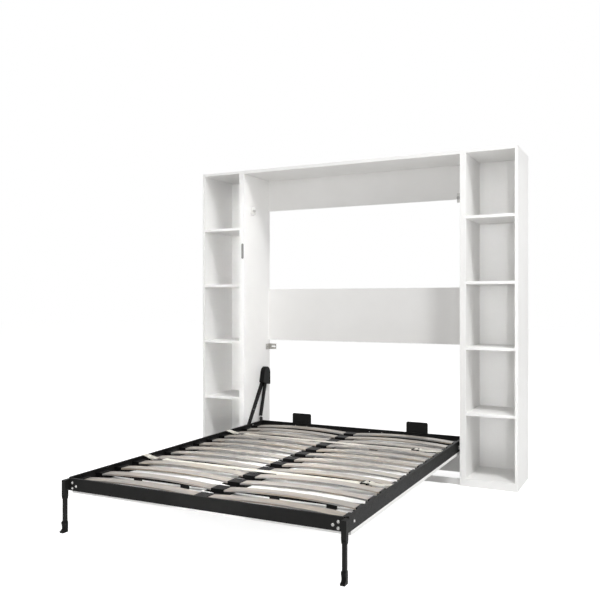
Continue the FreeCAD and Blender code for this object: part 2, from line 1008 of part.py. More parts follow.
piece(pair("posts", fused("left_post", [post_shell, *ears, gusset])), "corner_posts")
leg_pin = cylinder(
    "leg_pin",
    X_AXIS,
    s.leg_pin_radius,
    s.post_width - 2 * s.rail_wall,
    (-post_outer + s.rail_wall, leg_y, leg_pivot_height),
)
piece(pair("leg_pins", leg_pin), "leg_hinge_pins")

# Centre beam, and cross tubes from it to the side rails with the brackets of the front panel
beam_half = s.beam_width / 2
beam_top = slat_under - s.seat_height
beam_end = frame_rear - s.rail_wall
beam = cut(
    "beam",
    box("beam_outside", (-beam_half, fold_back, rail_floor), (beam_half, beam_end, beam_top)),
    box(
        "beam_inside",
        (-beam_half + s.rail_wall, fold_back, rail_floor + s.rail_wall),
        (beam_half - s.rail_wall, beam_end, beam_top - s.rail_wall),
    ),
)
piece(beam, "centre_beam")
tube_base = rail_floor + s.tube_lift
tube_top = tube_base + s.tube_height
tubes = []
clips = []
for number, row in enumerate(TUBE_ROWS):
    near = first_slat + slat_pitch * row - s.tube_width / 2
    far = near + s.tube_width
    tubes.append(
        cut(
            f"tube_{number}",
            box(
                f"tube_outside_{number}",
                (-web_inner, near, tube_base),
                (-beam_half, far, tube_top),
            ),
            box(
                f"tube_inside_{number}",
                (-web_inner, near + s.rail_wall, tube_base + s.rail_wall),
                (-beam_half, far - s.rail_wall, tube_top - s.rail_wall),
            ),
        )
    )
    for clip_x in (s.clip_inner, bed_half - s.clip_inset):
        clips.append(
            profile(
                f"clip_{len(clips)}",
                "YZ",
                [
                    (0, 0),
                    (0, s.clip_rise),
                    (-s.rail_wall, s.clip_rise),
                    (-s.rail_wall, s.rail_wall),
                    (-s.clip_leg, s.rail_wall),
                    (-s.clip_leg, 0),
                ],
                s.clip_width,
                (-clip_x, near, rail_base),
            )
        )
piece(pair("tubes", group("left_tubes", tubes)), "cross_tubes")
piece(pair("clips", group("left_clips", clips)), "panel_brackets")

# White front panel under the frame, behind the posts
panel = box(
    "panel",
    (-bed_half, frame_front + s.panel_front_inset, panel_base),
    (bed_half, frame_rear - s.panel_rear_inset, rail_base),
)
piece(panel, "front_panel")

# Sprung slats: bowed strips in two columns
slat_outer = bed_half - s.slat_inset
slat_half = (slat_outer - s.slat_middle) / 2
slat_rows = profile(
    "slat",
    "XZ",
    [
        (-slat_half, 0, 0, s.slat_bow),
        (-slat_half, s.slat_thick),
        (slat_half, s.slat_thick, 0, s.slat_thick + s.slat_bow),
        (slat_half, 0),
    ],
    s.slat_width,
    (-slat_outer + slat_half, first_slat, slat_under),
)
left_and_right("slats", repeat(slat_rows, s.slat_rows, slat_pitch))

# Side slat holders: moulded shoes in the rail's channel with a pocket and a longer lower lip
slat_slope = 2 * s.slat_bow / slat_half
pocket_floor = -s.holder_gap
pocket_roof = s.slat_thick + slat_slope * (s.cap_half - s.slat_middle) + s.holder_gap
holder_roof = pocket_roof + s.holder_wall
holder_width = s.slat_width + 2 * s.holder_wall
pocket_width = s.slat_width + 2 * s.holder_gap
shoe = profile(
    "shoe",
    "XZ",
    [
        (s.rail_wall, rail_floor - slat_under),
        (s.shoe_foot, rail_floor - slat_under),
        (s.slat_inset, pocket_floor - 2 * s.holder_wall),
        (s.shoe_lip, pocket_floor - s.holder_wall),
        (s.shoe_lip, pocket_floor),
        (s.shoe_mouth, pocket_floor),
        (s.shoe_mouth, holder_roof),
        (s.rail_wall, holder_roof),
    ],
    holder_width,
    (-bed_half, first_slat, slat_under),
)
shoes = repeat(shoe, s.slat_rows, slat_pitch)
pocket_start = s.slat_inset - s.holder_gap
pocket = profile(
    "pocket",
    "XZ",
    [
        (pocket_start, pocket_floor),
        (s.shoe_lip, pocket_floor),
        (s.shoe_lip, pocket_roof),
        (pocket_start, pocket_roof),
    ],
    pocket_width,
    (-bed_half, first_slat, slat_under),
)
pockets = repeat(pocket, s.slat_rows, slat_pitch)
piece(pair("shoe_pairs", cut("left_shoes", shoes, pockets)), "side_slat_holders")

# Centre slat holders: double caps on the beam that hold the inner ends of both columns
seat_base = beam_top - slat_under
lip_under = pocket_floor - s.holder_wall
cap_side = [
    (beam_half, seat_base),
    (s.lip_half, lip_under),
    (s.lip_half, pocket_floor),
    (s.cap_half, pocket_floor),
    (s.cap_half, holder_roof),
]
double_cap = profile(
    "double_cap",
    "XZ",
    cap_side + [(-x, z) for x, z in reversed(cap_side)],
    holder_width,
    (0, first_slat, slat_under),
)
double_caps = repeat(double_cap, s.slat_rows, slat_pitch)
room_start = s.slat_middle - s.holder_gap
slat_room = profile(
    "slat_room",
    "XZ",
    [
        (room_start, pocket_floor),
        (s.lip_half, pocket_floor),
        (s.lip_half, pocket_roof),
        (room_start, pocket_roof),
    ],
    pocket_width,
    (0, first_slat, slat_under),
)
slat_rooms = pair("slat_rooms", repeat(slat_room, s.slat_rows, slat_pitch))
piece(cut("hollow_caps", double_caps, slat_rooms), "centre_slat_holders")

# Mattress straps: webbing that folds over the left rail and runs level to the right one
strap_inner = bed_half + s.strap_gap
strap_outer = strap_inner + s.strap_thick
strap_end = web_inner - s.strap_gap
strap_roof = s.strap_gap + s.strap_thick
band_top = s.strap_thick - s.strap_level
fold_x = bed_half - s.strap_fold
ramp_x = fold_x - s.strap_ramp
strap_top = rail_top + band_top
buckles = []
for end, row, buckle_x in (
    ("front", s.front_strap_row, bed_half - s.front_buckle_inset),
    ("rear", s.rear_strap_row, bed_half - s.rear_buckle_inset),
):
    strap_y = first_slat + slat_pitch * row
    strap = profile(
        end + "_band",
        "XZ",
        [
            (-strap_outer, -s.strap_drop),
            (-strap_inner, -s.strap_drop),
            (-strap_inner, s.strap_gap),
            (-fold_x, s.strap_gap),
            (-ramp_x, -s.strap_level),
            (strap_end, -s.strap_level),
            (strap_end, band_top),
            (-ramp_x, band_top),
            (-fold_x, strap_roof),
            (-strap_outer, strap_roof),
        ],
        s.strap_width,
        (0, strap_y, rail_top),
    )
    piece(strap, end + "_strap")
    buckle = box(
        end + "_plate",
        (buckle_x - s.buckle_length / 2, strap_y - s.buckle_width / 2, strap_top),
        (
            buckle_x + s.buckle_length / 2,
            strap_y + s.buckle_width / 2,
            strap_top + s.buckle_thick,
        ),
    )
    buckles.append(
        eased(
            "Chamfer",
            end + "_buckle",
            buckle,
            s.buckle_chamfer,
            lambda edge: runs_along(edge, Z_AXIS),
        )
    )
piece(group("buckles", buckles), "strap_buckles")

# Folding legs: a tube that turns about its rounded top, in a moulded foot
leg_width = 2 * leg_half
leg_base = s.foot_height - s.foot_socket
leg_bar = profile(
    "leg_bar",
    "YZ",
    [
        (-leg_half, leg_base - leg_pivot_height),
        (-leg_half, 0),
        (leg_half, 0, 0, leg_half),
        (leg_half, leg_base - leg_pivot_height),
    ],
    leg_width,
    (-leg_x, leg_y, leg_pivot_height),
)
leg_bore = cylinder(
    "leg_bore",
    X_AXIS,
    s.leg_pin_radius + s.running_gap,
    leg_width,
    (-leg_x - leg_half, leg_y, leg_pivot_height),
)
hollow_half = leg_half - s.leg_wall
leg_hollow = box(
    "leg_hollow",
    (-leg_x - hollow_half, leg_y - hollow_half, leg_base),
    (-leg_x + hollow_half, leg_y + hollow_half, leg_pivot_height - leg_half),
)
left_and_right("leg", cut("left_leg_tube", leg_bar, group("leg_rooms", [leg_bore, leg_hollow])))
foot_rear = leg_half + s.foot_rear_wall
waist_middle = 1 - HALF_TURN
foot_block = profile(
    "foot_block",
    "YZ",
    [
        (foot_rear, 0),
        (foot_rear, s.foot_height - s.foot_chamfer),
        (foot_rear - s.foot_chamfer, s.foot_height),
        (-waist_reach, s.foot_height),
        (-waist_reach - s.beak_nose, s.foot_height - s.beak_drop),
        (-waist_reach, s.waist_height),
        (
            -toe_reach,
            s.toe_height,
            -waist_reach - s.toe_nose * waist_middle,
            s.toe_height + (s.waist_height - s.toe_height) * waist_middle,
        ),
        (-toe_reach + s.foot_chamfer, 0),
    ],
    leg_width + 2 * s.foot_wall,
    (-leg_x, leg_y, 0),
)
left_and_right("foot", cut("left_foot_cup", foot_block, leg_bar))

doc.recompute()
for thing in doc.Objects:
    if "Invalid" in thing.State or "Error" in thing.State:
        raise RuntimeError(f"{thing.Label} did not compute: {thing.State}")
for thing in pieces:
    if thing.Shape.isNull() or not thing.Shape.isValid() or not thing.Shape.Solids:
        raise RuntimeError(f"{thing.Label} has no valid solid")

os.makedirs("parts", exist_ok=True)
for thing in pieces:
    thing.Shape.exportStep(f"parts/{thing.Label}.step")
    print(thing.Label, len(thing.Shape.Solids), "solids", round(thing.Shape.Volume), "mm3")
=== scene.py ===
import json
import math

import bmesh
import bpy
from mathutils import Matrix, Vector


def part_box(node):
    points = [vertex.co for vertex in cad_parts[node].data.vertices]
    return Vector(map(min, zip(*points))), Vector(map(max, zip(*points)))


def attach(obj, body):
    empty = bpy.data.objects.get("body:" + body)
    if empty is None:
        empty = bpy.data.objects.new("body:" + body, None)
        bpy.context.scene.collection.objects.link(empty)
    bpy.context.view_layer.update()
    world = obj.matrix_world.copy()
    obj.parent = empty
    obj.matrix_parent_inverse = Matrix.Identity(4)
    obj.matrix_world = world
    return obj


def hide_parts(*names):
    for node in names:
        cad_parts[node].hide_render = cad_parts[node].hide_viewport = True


# A wall bed in a white cabinet between two bookcases, open, on a plain pale floor.
# Metres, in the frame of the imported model: +X right seen from the foot, +Y to the wall, +Z up.
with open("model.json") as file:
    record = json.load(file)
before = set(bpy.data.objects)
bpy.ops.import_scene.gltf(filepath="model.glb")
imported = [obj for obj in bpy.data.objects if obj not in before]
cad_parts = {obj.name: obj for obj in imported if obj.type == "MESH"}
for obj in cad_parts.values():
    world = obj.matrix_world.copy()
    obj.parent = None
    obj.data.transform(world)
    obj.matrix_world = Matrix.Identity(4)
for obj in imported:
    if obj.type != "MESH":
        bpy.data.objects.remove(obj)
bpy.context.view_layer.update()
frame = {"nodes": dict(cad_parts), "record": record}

# Camera at the photograph's viewing angle
PHOTO_PIXELS = 600
SENSOR_MM = 36.0
FOCAL_PIXELS = 724.5
HORIZON_ROW = 303.16
CAMERA_PLACE = (1.971, -3.92025, 1.182)
CAMERA_YAW = math.radians(26.4255)


def add_camera():
    data = bpy.data.cameras.new("camera")
    data.sensor_width = SENSOR_MM
    data.lens = FOCAL_PIXELS / PHOTO_PIXELS * SENSOR_MM
    data.shift_y = (HORIZON_ROW - PHOTO_PIXELS / 2) / PHOTO_PIXELS
    camera = bpy.data.objects.new("camera", data)
    camera.location = CAMERA_PLACE
    camera.rotation_euler = (math.pi / 2, 0, CAMERA_YAW)
    bpy.context.collection.objects.link(camera)
    bpy.context.scene.camera = camera


class Shader:
    """A node material: one Principled shader and short calls that feed it."""

    def __init__(self, name, metallic=0.0, specular=0.5):
        self.material = bpy.data.materials.new(name)
        self.material.use_nodes = True
        self.tree = self.material.node_tree
        self.principled = self.tree.nodes["Principled BSDF"]
        self.principled.inputs["Metallic"].default_value = metallic
        self.principled.inputs["Specular IOR Level"].default_value = specular
        self.place = self.tree.nodes.new("ShaderNodeTexCoord").outputs["Object"]

    def stretched(self, scale):
        """Object coordinates, scaled by so much along each axis."""
        mapping = self.tree.nodes.new("ShaderNodeMapping")
        mapping.inputs["Scale"].default_value = scale
        self.tree.links.new(self.place, mapping.inputs["Vector"])
        return mapping.outputs["Vector"]

    def noise(self, scale, detail=3.0, rough=0.55):
        texture = self.tree.nodes.new("ShaderNodeTexNoise")
        texture.inputs["Scale"].default_value = 1.0
        texture.inputs["Detail"].default_value = detail
        texture.inputs["Roughness"].default_value = rough
        self.tree.links.new(self.stretched(scale), texture.inputs["Vector"])
        return texture.outputs["Fac"]

    def waves(self, scale, direction):
        texture = self.tree.nodes.new("ShaderNodeTexWave")
        texture.wave_type = "BANDS"
        texture.bands_direction = direction
        texture.inputs["Scale"].default_value = scale
        self.tree.links.new(self.place, texture.inputs["Vector"])
        return texture.outputs["Fac"]

    def product(self, first, second):
        node = self.tree.nodes.new("ShaderNodeMath")
        node.operation = "MULTIPLY"
        self.tree.links.new(first, node.inputs[0])
        self.tree.links.new(second, node.inputs[1])
        return node.outputs["Value"]

    def ramp(self, factor, stops):
        """Colours along a factor: pairs of position and (r, g, b)."""
        node = self.tree.nodes.new("ShaderNodeValToRGB")
        elements = node.color_ramp.elements
        while len(elements) < len(stops):
            elements.new(0.5)
        for element, (position, colour) in zip(elements, stops):
            element.position = position
            element.color = (*colour, 1.0)
        self.tree.links.new(factor, node.inputs["Fac"])
        return node.outputs["Color"]

    def tinted(self, colour, tint, share):
        """A colour multiplied by a share of a tint."""
        node = self.tree.nodes.new("ShaderNodeMix")
        node.data_type = "RGBA"
        node.blend_type = "MULTIPLY"
        node.inputs["Factor"].default_value = share
        self.tree.links.new(colour, node.inputs["A"])
        self.tree.links.new(tint, node.inputs["B"])
        return node.outputs["Result"]

    def colour(self, output):
        self.tree.links.new(output, self.principled.inputs["Base Color"])

    def roughness(self, factor, low, high):
        node = self.tree.nodes.new("ShaderNodeMapRange")
        node.inputs["To Min"].default_value = low
        node.inputs["To Max"].default_value = high
        self.tree.links.new(factor, node.inputs["Value"])
        self.tree.links.new(node.outputs["Result"], self.principled.inputs["Roughness"])

    def bump(self, height, distance):
        node = self.tree.nodes.new("ShaderNodeBump")
        node.inputs["Distance"].default_value = distance
        node.inputs["Strength"].default_value = 1.0
        self.tree.links.new(height, node.inputs["Height"])
        self.tree.links.new(node.outputs["Normal"], self.principled.inputs["Normal"])


def even(scale):
    return (scale, scale, scale)


def melamine():
    """Matt white laminate: a faint mottle and the pebble of its press plate."""
    shader = Shader("white_melamine", specular=0.35)
    mottle = shader.noise(even(3.5), detail=4.0)
    shader.colour(shader.ramp(mottle, [(0.3, (0.9, 0.895, 0.883)), (0.7, (0.93, 0.926, 0.916))]))
    shader.roughness(shader.noise(even(40)), low=0.42, high=0.56)
    shader.bump(shader.noise(even(900), detail=2.0), distance=0.00012)
    return shader.material


def powder_coat():
    """Charcoal powder coat with its fine orange peel."""
    shader = Shader("charcoal_powder_coat", specular=0.14)
    cloud = shader.noise(even(14), detail=5.0)
    shader.colour(shader.ramp(cloud, [(0.3, (0.0075, 0.0075, 0.0073)), (0.7, (0.0105, 0.0104, 0.0101))]))
    shader.roughness(shader.noise(even(60)), low=0.5, high=0.68)
    shader.bump(shader.noise(even(1100), detail=2.0), distance=0.00025)
    return shader.material


def slat_veneer():
    """Greige veneer: grey, beige and pink streaks along the slat, with fine grain."""
    shader = Shader("slat_veneer", specular=0.4)
    streak = shader.noise((0.9, 46, 14), detail=4.0, rough=0.5)
    tone = shader.ramp(
        streak,
        [
            (0.36, (0.22, 0.22, 0.218)),
            (0.44, (0.45, 0.377, 0.295)),
            (0.50, (0.285, 0.292, 0.296)),
            (0.56, (0.45, 0.383, 0.324)),
            (0.62, (0.316, 0.315, 0.309)),
            (0.70, (0.484, 0.423, 0.338)),
        ],
    )
    grain = shader.noise((9, 520, 520), detail=4.0)
    fine = shader.ramp(grain, [(0.35, (0.82, 0.81, 0.8)), (0.62, (1.0, 1.0, 1.0))])
    shader.colour(shader.tinted(tone, fine, share=0.7))
    shader.roughness(grain, low=0.36, high=0.52)
    shader.bump(grain, distance=0.00018)
    return shader.material


def moulded_plastic():
    """Black moulded plastic with a spark-eroded texture."""
    shader = Shader("black_moulded_plastic", specular=0.08)
    cloud = shader.noise(even(25), detail=3.0)
    shader.colour(shader.ramp(cloud, [(0.3, (0.004, 0.004, 0.0041)), (0.7, (0.006, 0.006, 0.006))]))
    shader.roughness(shader.noise(even(120)), low=0.4, high=0.58)
    shader.bump(shader.noise(even(1500), detail=2.0), distance=0.0002)
    return shader.material


def bright_plate():
    """Bright plated steel with faint wiping marks."""
    shader = Shader("bright_plated_steel", metallic=1.0)
    marks = shader.noise((60, 400, 400), detail=4.0)
    shader.colour(shader.ramp(marks, [(0.3, (0.36, 0.355, 0.345)), (0.7, (0.5, 0.495, 0.485))]))
    shader.roughness(marks, low=0.2, high=0.34)
    return shader.material


def zinc_sheet():
    """Dull zinc-plated sheet with brushed streaks."""
    shader = Shader("zinc_sheet", metallic=1.0)
    streaks = shader.noise((500, 30, 30), detail=4.0)
    shader.colour(shader.ramp(streaks, [(0.3, (0.4, 0.39, 0.37)), (0.7, (0.54, 0.53, 0.51))]))
    shader.roughness(streaks, low=0.3, high=0.45)
    shader.bump(streaks, distance=0.00006)
    return shader.material


def worn_zinc():
    """Grey passivated zinc with rubbed streaks."""
    shader = Shader("worn_zinc", metallic=0.6)
    streaks = shader.noise((90, 90, 400), detail=5.0)
    shader.colour(shader.ramp(streaks, [(0.3, (0.17, 0.165, 0.16)), (0.7, (0.27, 0.265, 0.255))]))
    shader.roughness(streaks, low=0.42, high=0.6)
    shader.bump(streaks, distance=0.00008)
    return shader.material


def white_lacquer():
    """White enamel on pressed sheet, with a soft orange peel."""
    shader = Shader("white_lacquer", specular=0.4)
    cloud = shader.noise(even(30), detail=4.0)
    shader.colour(shader.ramp(cloud, [(0.3, (0.66, 0.655, 0.64)), (0.7, (0.74, 0.735, 0.72))]))
    shader.roughness(shader.noise(even(90)), low=0.3, high=0.45)
    shader.bump(shader.noise(even(700), detail=2.0), distance=0.00015)
    return shader.material


def rubber():
    """Pale grey rubber, slightly dusty."""
    shader = Shader("pale_rubber", specular=0.3)
    dust = shader.noise(even(180), detail=4.0)
    shader.colour(shader.ramp(dust, [(0.4, (0.4, 0.395, 0.385)), (0.75, (0.52, 0.515, 0.5))]))
    shader.roughness(dust, low=0.62, high=0.8)
    shader.bump(dust, distance=0.0002)
    return shader.material


def webbing():
    """Cream woven webbing: ribs along the strap crossed by picks."""
    shader = Shader("cream_webbing", specular=0.2)
    shader.principled.inputs["Sheen Weight"].default_value = 0.25
    ribs = shader.waves(260, "Y")
    picks = shader.waves(420, "X")
    weave = shader.product(ribs, picks)
    tone = shader.ramp(weave, [(0.0, (0.66, 0.63, 0.56)), (0.5, (0.88, 0.86, 0.79))])
    soil = shader.ramp(shader.noise(even(9)), [(0.3, (0.9, 0.885, 0.86)), (0.7, (1.0, 1.0, 1.0))])
    shader.colour(shader.tinted(tone, soil, share=1.0))
    shader.roughness(weave, low=0.92, high=0.75)
    shader.bump(weave, distance=0.0005)
    return shader.material


MATERIALS = {
    "white_board": melamine(),
    "frame_steel": powder_coat(),
    "slat_wood": slat_veneer(),
    "moulded_plastic": moulded_plastic(),
    "plated_steel": bright_plate(),
    "bracket_steel": zinc_sheet(),
    "buffer_rubber": rubber(),
    "webbing": webbing(),
}
NODE_MATERIALS = {"safety_latch": worn_zinc(), "closing_stops": white_lacquer()}
EDGE_WIDTH = {
    "white_board": 0.0008,
    "frame_steel": 0.0012,
    "slat_wood": 0.0022,
    "moulded_plastic": 0.0012,
    "plated_steel": 0.0005,
    "bracket_steel": 0.0005,
    "buffer_rubber": 0.0012,
    "webbing": 0.0004,
}
EDGE_ANGLE = math.radians(40)
EDGE_SEGMENTS = 2


def dress_nodes():
    """Give every CAD node the material of its slot and softly broken edges."""
    for subpart in frame["record"]["subparts"]:
        thing = frame["nodes"][subpart["node"]]
        slot = subpart["material_slot"]
        thing.data.materials.clear()
        thing.data.materials.append(NODE_MATERIALS.get(subpart["node"], MATERIALS[slot]))
        bevel = thing.modifiers.new("broken_edges", "BEVEL")
        bevel.width = EDGE_WIDTH[slot]
        bevel.segments = EDGE_SEGMENTS
        bevel.limit_method = "ANGLE"
        bevel.angle_limit = EDGE_ANGLE
        bevel.harden_normals = False


def add_piece(name, shape, slot, body):
    """Make a finished mesh an object with a slot's finish that moves with a body."""
    bmesh.ops.recalc_face_normals(shape, faces=shape.faces)
    mesh = bpy.data.meshes.new(name)
    shape.to_mesh(mesh)
    shape.free()
    mesh.materials.append(MATERIALS[slot])
    for face in mesh.polygons:
        face.use_smooth = True
    thing = bpy.data.objects.new(name, mesh)
    bpy.context.collection.objects.link(thing)
    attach(thing, body)
    return thing


def add_loops(shape, loops, closed=False):
    """Skin rings of points; the ends are capped unless the rings close on themselves."""
    rings = [[shape.verts.new(point) for point in loop] for loop in loops]
    pairs = list(zip(rings, rings[1:]))
    if closed:
        pairs.append((rings[-1], rings[0]))
    for first, second in pairs:
        for here in range(len(first)):
            there = (here + 1) % len(first)
            shape.faces.new((first[here], first[there], second[there], second[here]))
    if not closed:
        shape.faces.new(rings[0])
        shape.faces.new(rings[-1])


# Fasteners: heads of bolts and screws, and rolled eyelets
TURNED_SIDES = 24
ROUND = 0
CROSS = 4
HEXAGON = 6
SEAT = 0.0002
WASHER_RADIUS = 0.0074
WASHER_THICK = 0.0012
WASHER_EDGE = 0.0003
BOLT_HEAD = 0.0056
SOCKET_FLOOR = 0.0006
DOME_STEPS = 5
SCREW_HEAD = 0.0042
HEAD_RISE = 0.55
EYELET_RIM = 0.0065


def add_turned(shape, place, axis, rings):
    """A solid turned about an axis: (distance, radius, corners) of each ring."""
    turn = Vector(axis).to_track_quat("Z", "Y")
    loops = []
    for along, radius, corners in rings:
        loop = []
        for step in range(TURNED_SIDES):
            angle = 2 * math.pi * step / TURNED_SIDES
            reach = radius
            if corners:
                part = math.pi / corners
                reach *= math.cos(part) / math.cos(angle % (2 * part) - part)
            point = Vector((reach * math.cos(angle), reach * math.sin(angle), along))
            loop.append(Vector(place) + turn @ point)
        loops.append(loop)
    add_loops(shape, loops)


def button_bolt(shape, place, axis):
    """A washer under a domed head with a six-sided socket."""
    top = WASHER_THICK + HEAD_RISE * BOLT_HEAD
    rings = [
        (-SEAT, WASHER_RADIUS, ROUND),
        (WASHER_THICK - WASHER_EDGE, WASHER_RADIUS, ROUND),
        (WASHER_THICK, WASHER_RADIUS - WASHER_EDGE, ROUND),
        (WASHER_THICK, BOLT_HEAD, ROUND),
    ]
    for step in range(1, DOME_STEPS):
        angle = step / DOME_STEPS * math.pi / 2
        level = WASHER_THICK + (top - WASHER_THICK) * math.sin(angle)
        rings.append((level, BOLT_HEAD * (0.52 + 0.48 * math.cos(angle)), ROUND))
    rings += [
        (top, BOLT_HEAD * 0.5, ROUND),
        (top, BOLT_HEAD * 0.44, HEXAGON),
        (WASHER_THICK + SOCKET_FLOOR, BOLT_HEAD * 0.42, HEXAGON),
    ]
    add_turned(shape, place, axis, rings)


def pan_screw(shape, place, axis):
    """A pan head with a four-cornered recess."""
    rise = HEAD_RISE * SCREW_HEAD
    rings = [
        (-SEAT, SCREW_HEAD, ROUND),
        (0.3 * rise, SCREW_HEAD, ROUND),
        (0.75 * rise, SCREW_HEAD * 0.86, ROUND),
        (rise, SCREW_HEAD * 0.55, ROUND),
        (rise, SCREW_HEAD * 0.42, CROSS),
        (0.35 * rise, SCREW_HEAD * 0.26, CROSS),
    ]
    add_turned(shape, place, axis, rings)


def eyelet(shape, place, axis):
    """A rolled rim round a sunk hole."""
    rings = [
        (-SEAT, EYELET_RIM, ROUND),
        (0.0008, EYELET_RIM, ROUND),
        (0.0016, EYELET_RIM * 0.86, ROUND),
        (0.0018, EYELET_RIM * 0.72, ROUND),
        (0.0014, EYELET_RIM * 0.5, ROUND),
        (0.0002, EYELET_RIM * 0.47, ROUND),
    ]
    add_turned(shape, place, axis, rings)


def add_fasteners(name, kind, body, places):
    """One piece with a fastener of a kind at each (place, axis)."""
    shape = bmesh.new()
    for place, axis in places:
        kind(shape, place, axis)
    add_piece(name, shape, "plated_steel", body)


# Faces that carry the fasteners and straps
CABINET_FRONT = 0.73575
BED_HALF = 0.788
RAIL_INSIDE = 0.7855
RAIL_SHEET = BED_HALF - RAIL_INSIDE
BRACKET_FACE = 0.8085
STOP_FACE = 0.808
ARM_FACE = 0.8075
RAIL_TOP = 0.277
# Fasteners on these faces: X and Z, or distance behind the cabinet's front and Z
CORNER_BOLTS = ((0.7475, 0.254), (0.7475, 0.226), (0.722, 0.238))
SIDE_BOLT = (-1.7495, 0.242)
REAR_BOLT = (0.089, 0.262)
EYELETS = ((-1.166, 0.2585), (-0.255, 0.267))
MATTRESS_STOP_SCREWS = (-0.499, -0.404, 0.095, 0.191)
MATTRESS_STOP_LEVEL = 0.257
BRACKET_SCREW_INSET = 0.02
STOP_SCREWS = ((0.123, 1.8625), (0.123, 1.8935))
ARM_SCREW = (0.142, 0.371)


def both_sides(x, y, z, inward):
    """The same fastener on the left and the right, facing in or out."""
    facing = -1 if inward else 1
    return [((side * x, y, z), (side * facing, 0, 0)) for side in (-1, 1)]


def add_all_fasteners():
    forward = (0, -1, 0)
    front_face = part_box("front_rail")[0][1]
    bolts = [((side * x, front_face, z), forward) for side in (-1, 1) for x, z in CORNER_BOLTS]
    bolts += both_sides(BED_HALF, CABINET_FRONT + SIDE_BOLT[0], SIDE_BOLT[1], False)
    bolts += both_sides(RAIL_INSIDE, CABINET_FRONT + REAR_BOLT[0], REAR_BOLT[1], True)
    add_fasteners("frame_bolts", button_bolt, "bed", bolts)

    rims = [((-RAIL_INSIDE, CABINET_FRONT + y, z), (1, 0, 0)) for y, z in EYELETS]
    add_fasteners("rail_eyelets", eyelet, "bed", rims)

    rear_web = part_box("rear_rail")[1][1] - RAIL_SHEET
    stops = [((x, rear_web, MATTRESS_STOP_LEVEL), forward) for x in MATTRESS_STOP_SCREWS]
    add_fasteners("mattress_stop_screws", pan_screw, "bed", stops)

    low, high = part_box("wall_brackets")
    screws = both_sides(BRACKET_FACE, low[1] + BRACKET_SCREW_INSET, (low[2] + high[2]) / 2, True)
    for y, z in STOP_SCREWS:
        screws += both_sides(STOP_FACE, CABINET_FRONT + y, z, True)
    screws += both_sides(ARM_FACE, CABINET_FRONT + ARM_SCREW[0], ARM_SCREW[1], True)
    add_fasteners("cabinet_screws", pan_screw, "cabinet", screws)


# Straps of webbing: a short anchor and a ring at the left, a long band, a buckle and an end at the right
STRAP_WIDTH = 0.048
WEB_THICK = 0.0016
WEB_LIFT = 0.0013
BAND_LEVEL = 0.262
RING_LEFT = -0.705
RING_RIGHT = -0.638
RING_WIRE = 0.0042
WRAP = 0.0045
BUCKLE_X = {"front": 0.628, "rear": 0.604}
WEB_CUT = 0.25
RING_CUT = 0.12
RING_LIFT = 0.0003
RING_NARROW = 0.001
RING_WIDE = 0.006
RIBBON_STEP = 0.012
RIBBON_CELLS = 8
CUP = 0.0005
RIPPLE = 0.0003
RIPPLE_RATE = 61
RIPPLE_SKEW = 2.3
DRIFT = 0.0008
DRIFT_RATE = 9
THREAD = 0.0005
STITCH = 0.005
STITCH_MARGIN = 0.005
BUCKLE_LIFT = 0.0042
BUCKLE_GAP = 0.0012
CHEEK = 0.0042
CHEEK_HEIGHT = 0.0066
CHEEK_RUN = (-0.025, -0.01, 0.012, 0.025)
# Bars of the buckle: place along the strap, width, height and lift
BUCKLE_BARS = ((-0.021, 0.006, 0.005, 0.0004), (-0.003, 0.007, 0.0042, 0), (0.02, 0.006, 0.005, 0))
BAR_SIDES = 12
BAR_SQUARENESS = 0.6


def cut_corners(points, share, closed=False, rounds=3):
    """Cut the corners of a path again and again; an open path keeps its ends."""
    for _ in range(rounds):
        following = points[1:] + points[:1] if closed else points[1:]
        cut = []
        for first, second in zip(points, following):
            for part in (share, 1 - share):
                cut.append(tuple(a + (b - a) * part for a, b in zip(first, second)))
        points = cut if closed else [points[0], *cut, points[-1]]
    return points


def spaced(points, step):
    """Points along a path with no longer gap than step."""
    path = [points[0]]
    for first, second in zip(points, points[1:]):
        count = max(1, math.ceil(math.dist(first, second) / step))
        for part in range(1, count + 1):
            path.append(tuple(a + (b - a) * part / count for a, b in zip(first, second)))
    return path


def run_length(points):
    return sum(math.dist(a, b) for a, b in zip(points, points[1:]))


def add_ribbon(name, route, middle):
    """A strap of webbing along a route in X and Z, slightly cupped and uneven along its run."""
    path = spaced(cut_corners(route, WEB_CUT), RIBBON_STEP)
    shape = bmesh.new()
    rows = []
    for number, (x, z) in enumerate(path):
        before = path[max(number - 1, 0)]
        after = path[min(number + 1, len(path) - 1)]
        along = Vector((after[0] - before[0], 0, after[1] - before[1])).normalized()
        out = along.cross(Vector((0, 1, 0)))
        drift = DRIFT * math.sin(DRIFT_RATE * x + middle)
        row = []
        for step in range(RIBBON_CELLS + 1):
            side = 2 * step / RIBBON_CELLS - 1
            sink = CUP * side * side + RIPPLE * math.sin(RIPPLE_RATE * x + RIPPLE_SKEW * side)
            point = Vector((x, middle + drift + side * STRAP_WIDTH / 2, z)) - out * sink
            row.append(shape.verts.new(point))
        rows.append(row)
    for first, second in zip(rows, rows[1:]):
        for step in range(RIBBON_CELLS):
            shape.faces.new((first[step], first[step + 1], second[step + 1], second[step]))
    strap = add_piece(name, shape, "webbing", "bed")
    body = strap.modifiers.new("cloth_thickness", "SOLIDIFY")
    body.thickness = WEB_THICK
    body.offset = 0
    return strap, run_length(path)


def add_thread(shape, first, second):
    """One stitch: a thread that dips into the cloth at both ends."""
    up = Vector((0, 0, 1))
    across = (second - first).normalized().cross(up)
    loops = []
    for share, size, lift in ((0, 0.35, -0.6), (0.3, 1, 0.2), (0.7, 1, 0.2), (1, 0.35, -0.6)):
        centre = first.lerp(second, share) + up * lift * THREAD
        loop = []
        for step in range(6):
            angle = math.pi * step / 3
            loop.append(centre + THREAD * size * (across * math.cos(angle) + up * math.sin(angle)))
        loops.append(loop)
    add_loops(shape, loops)


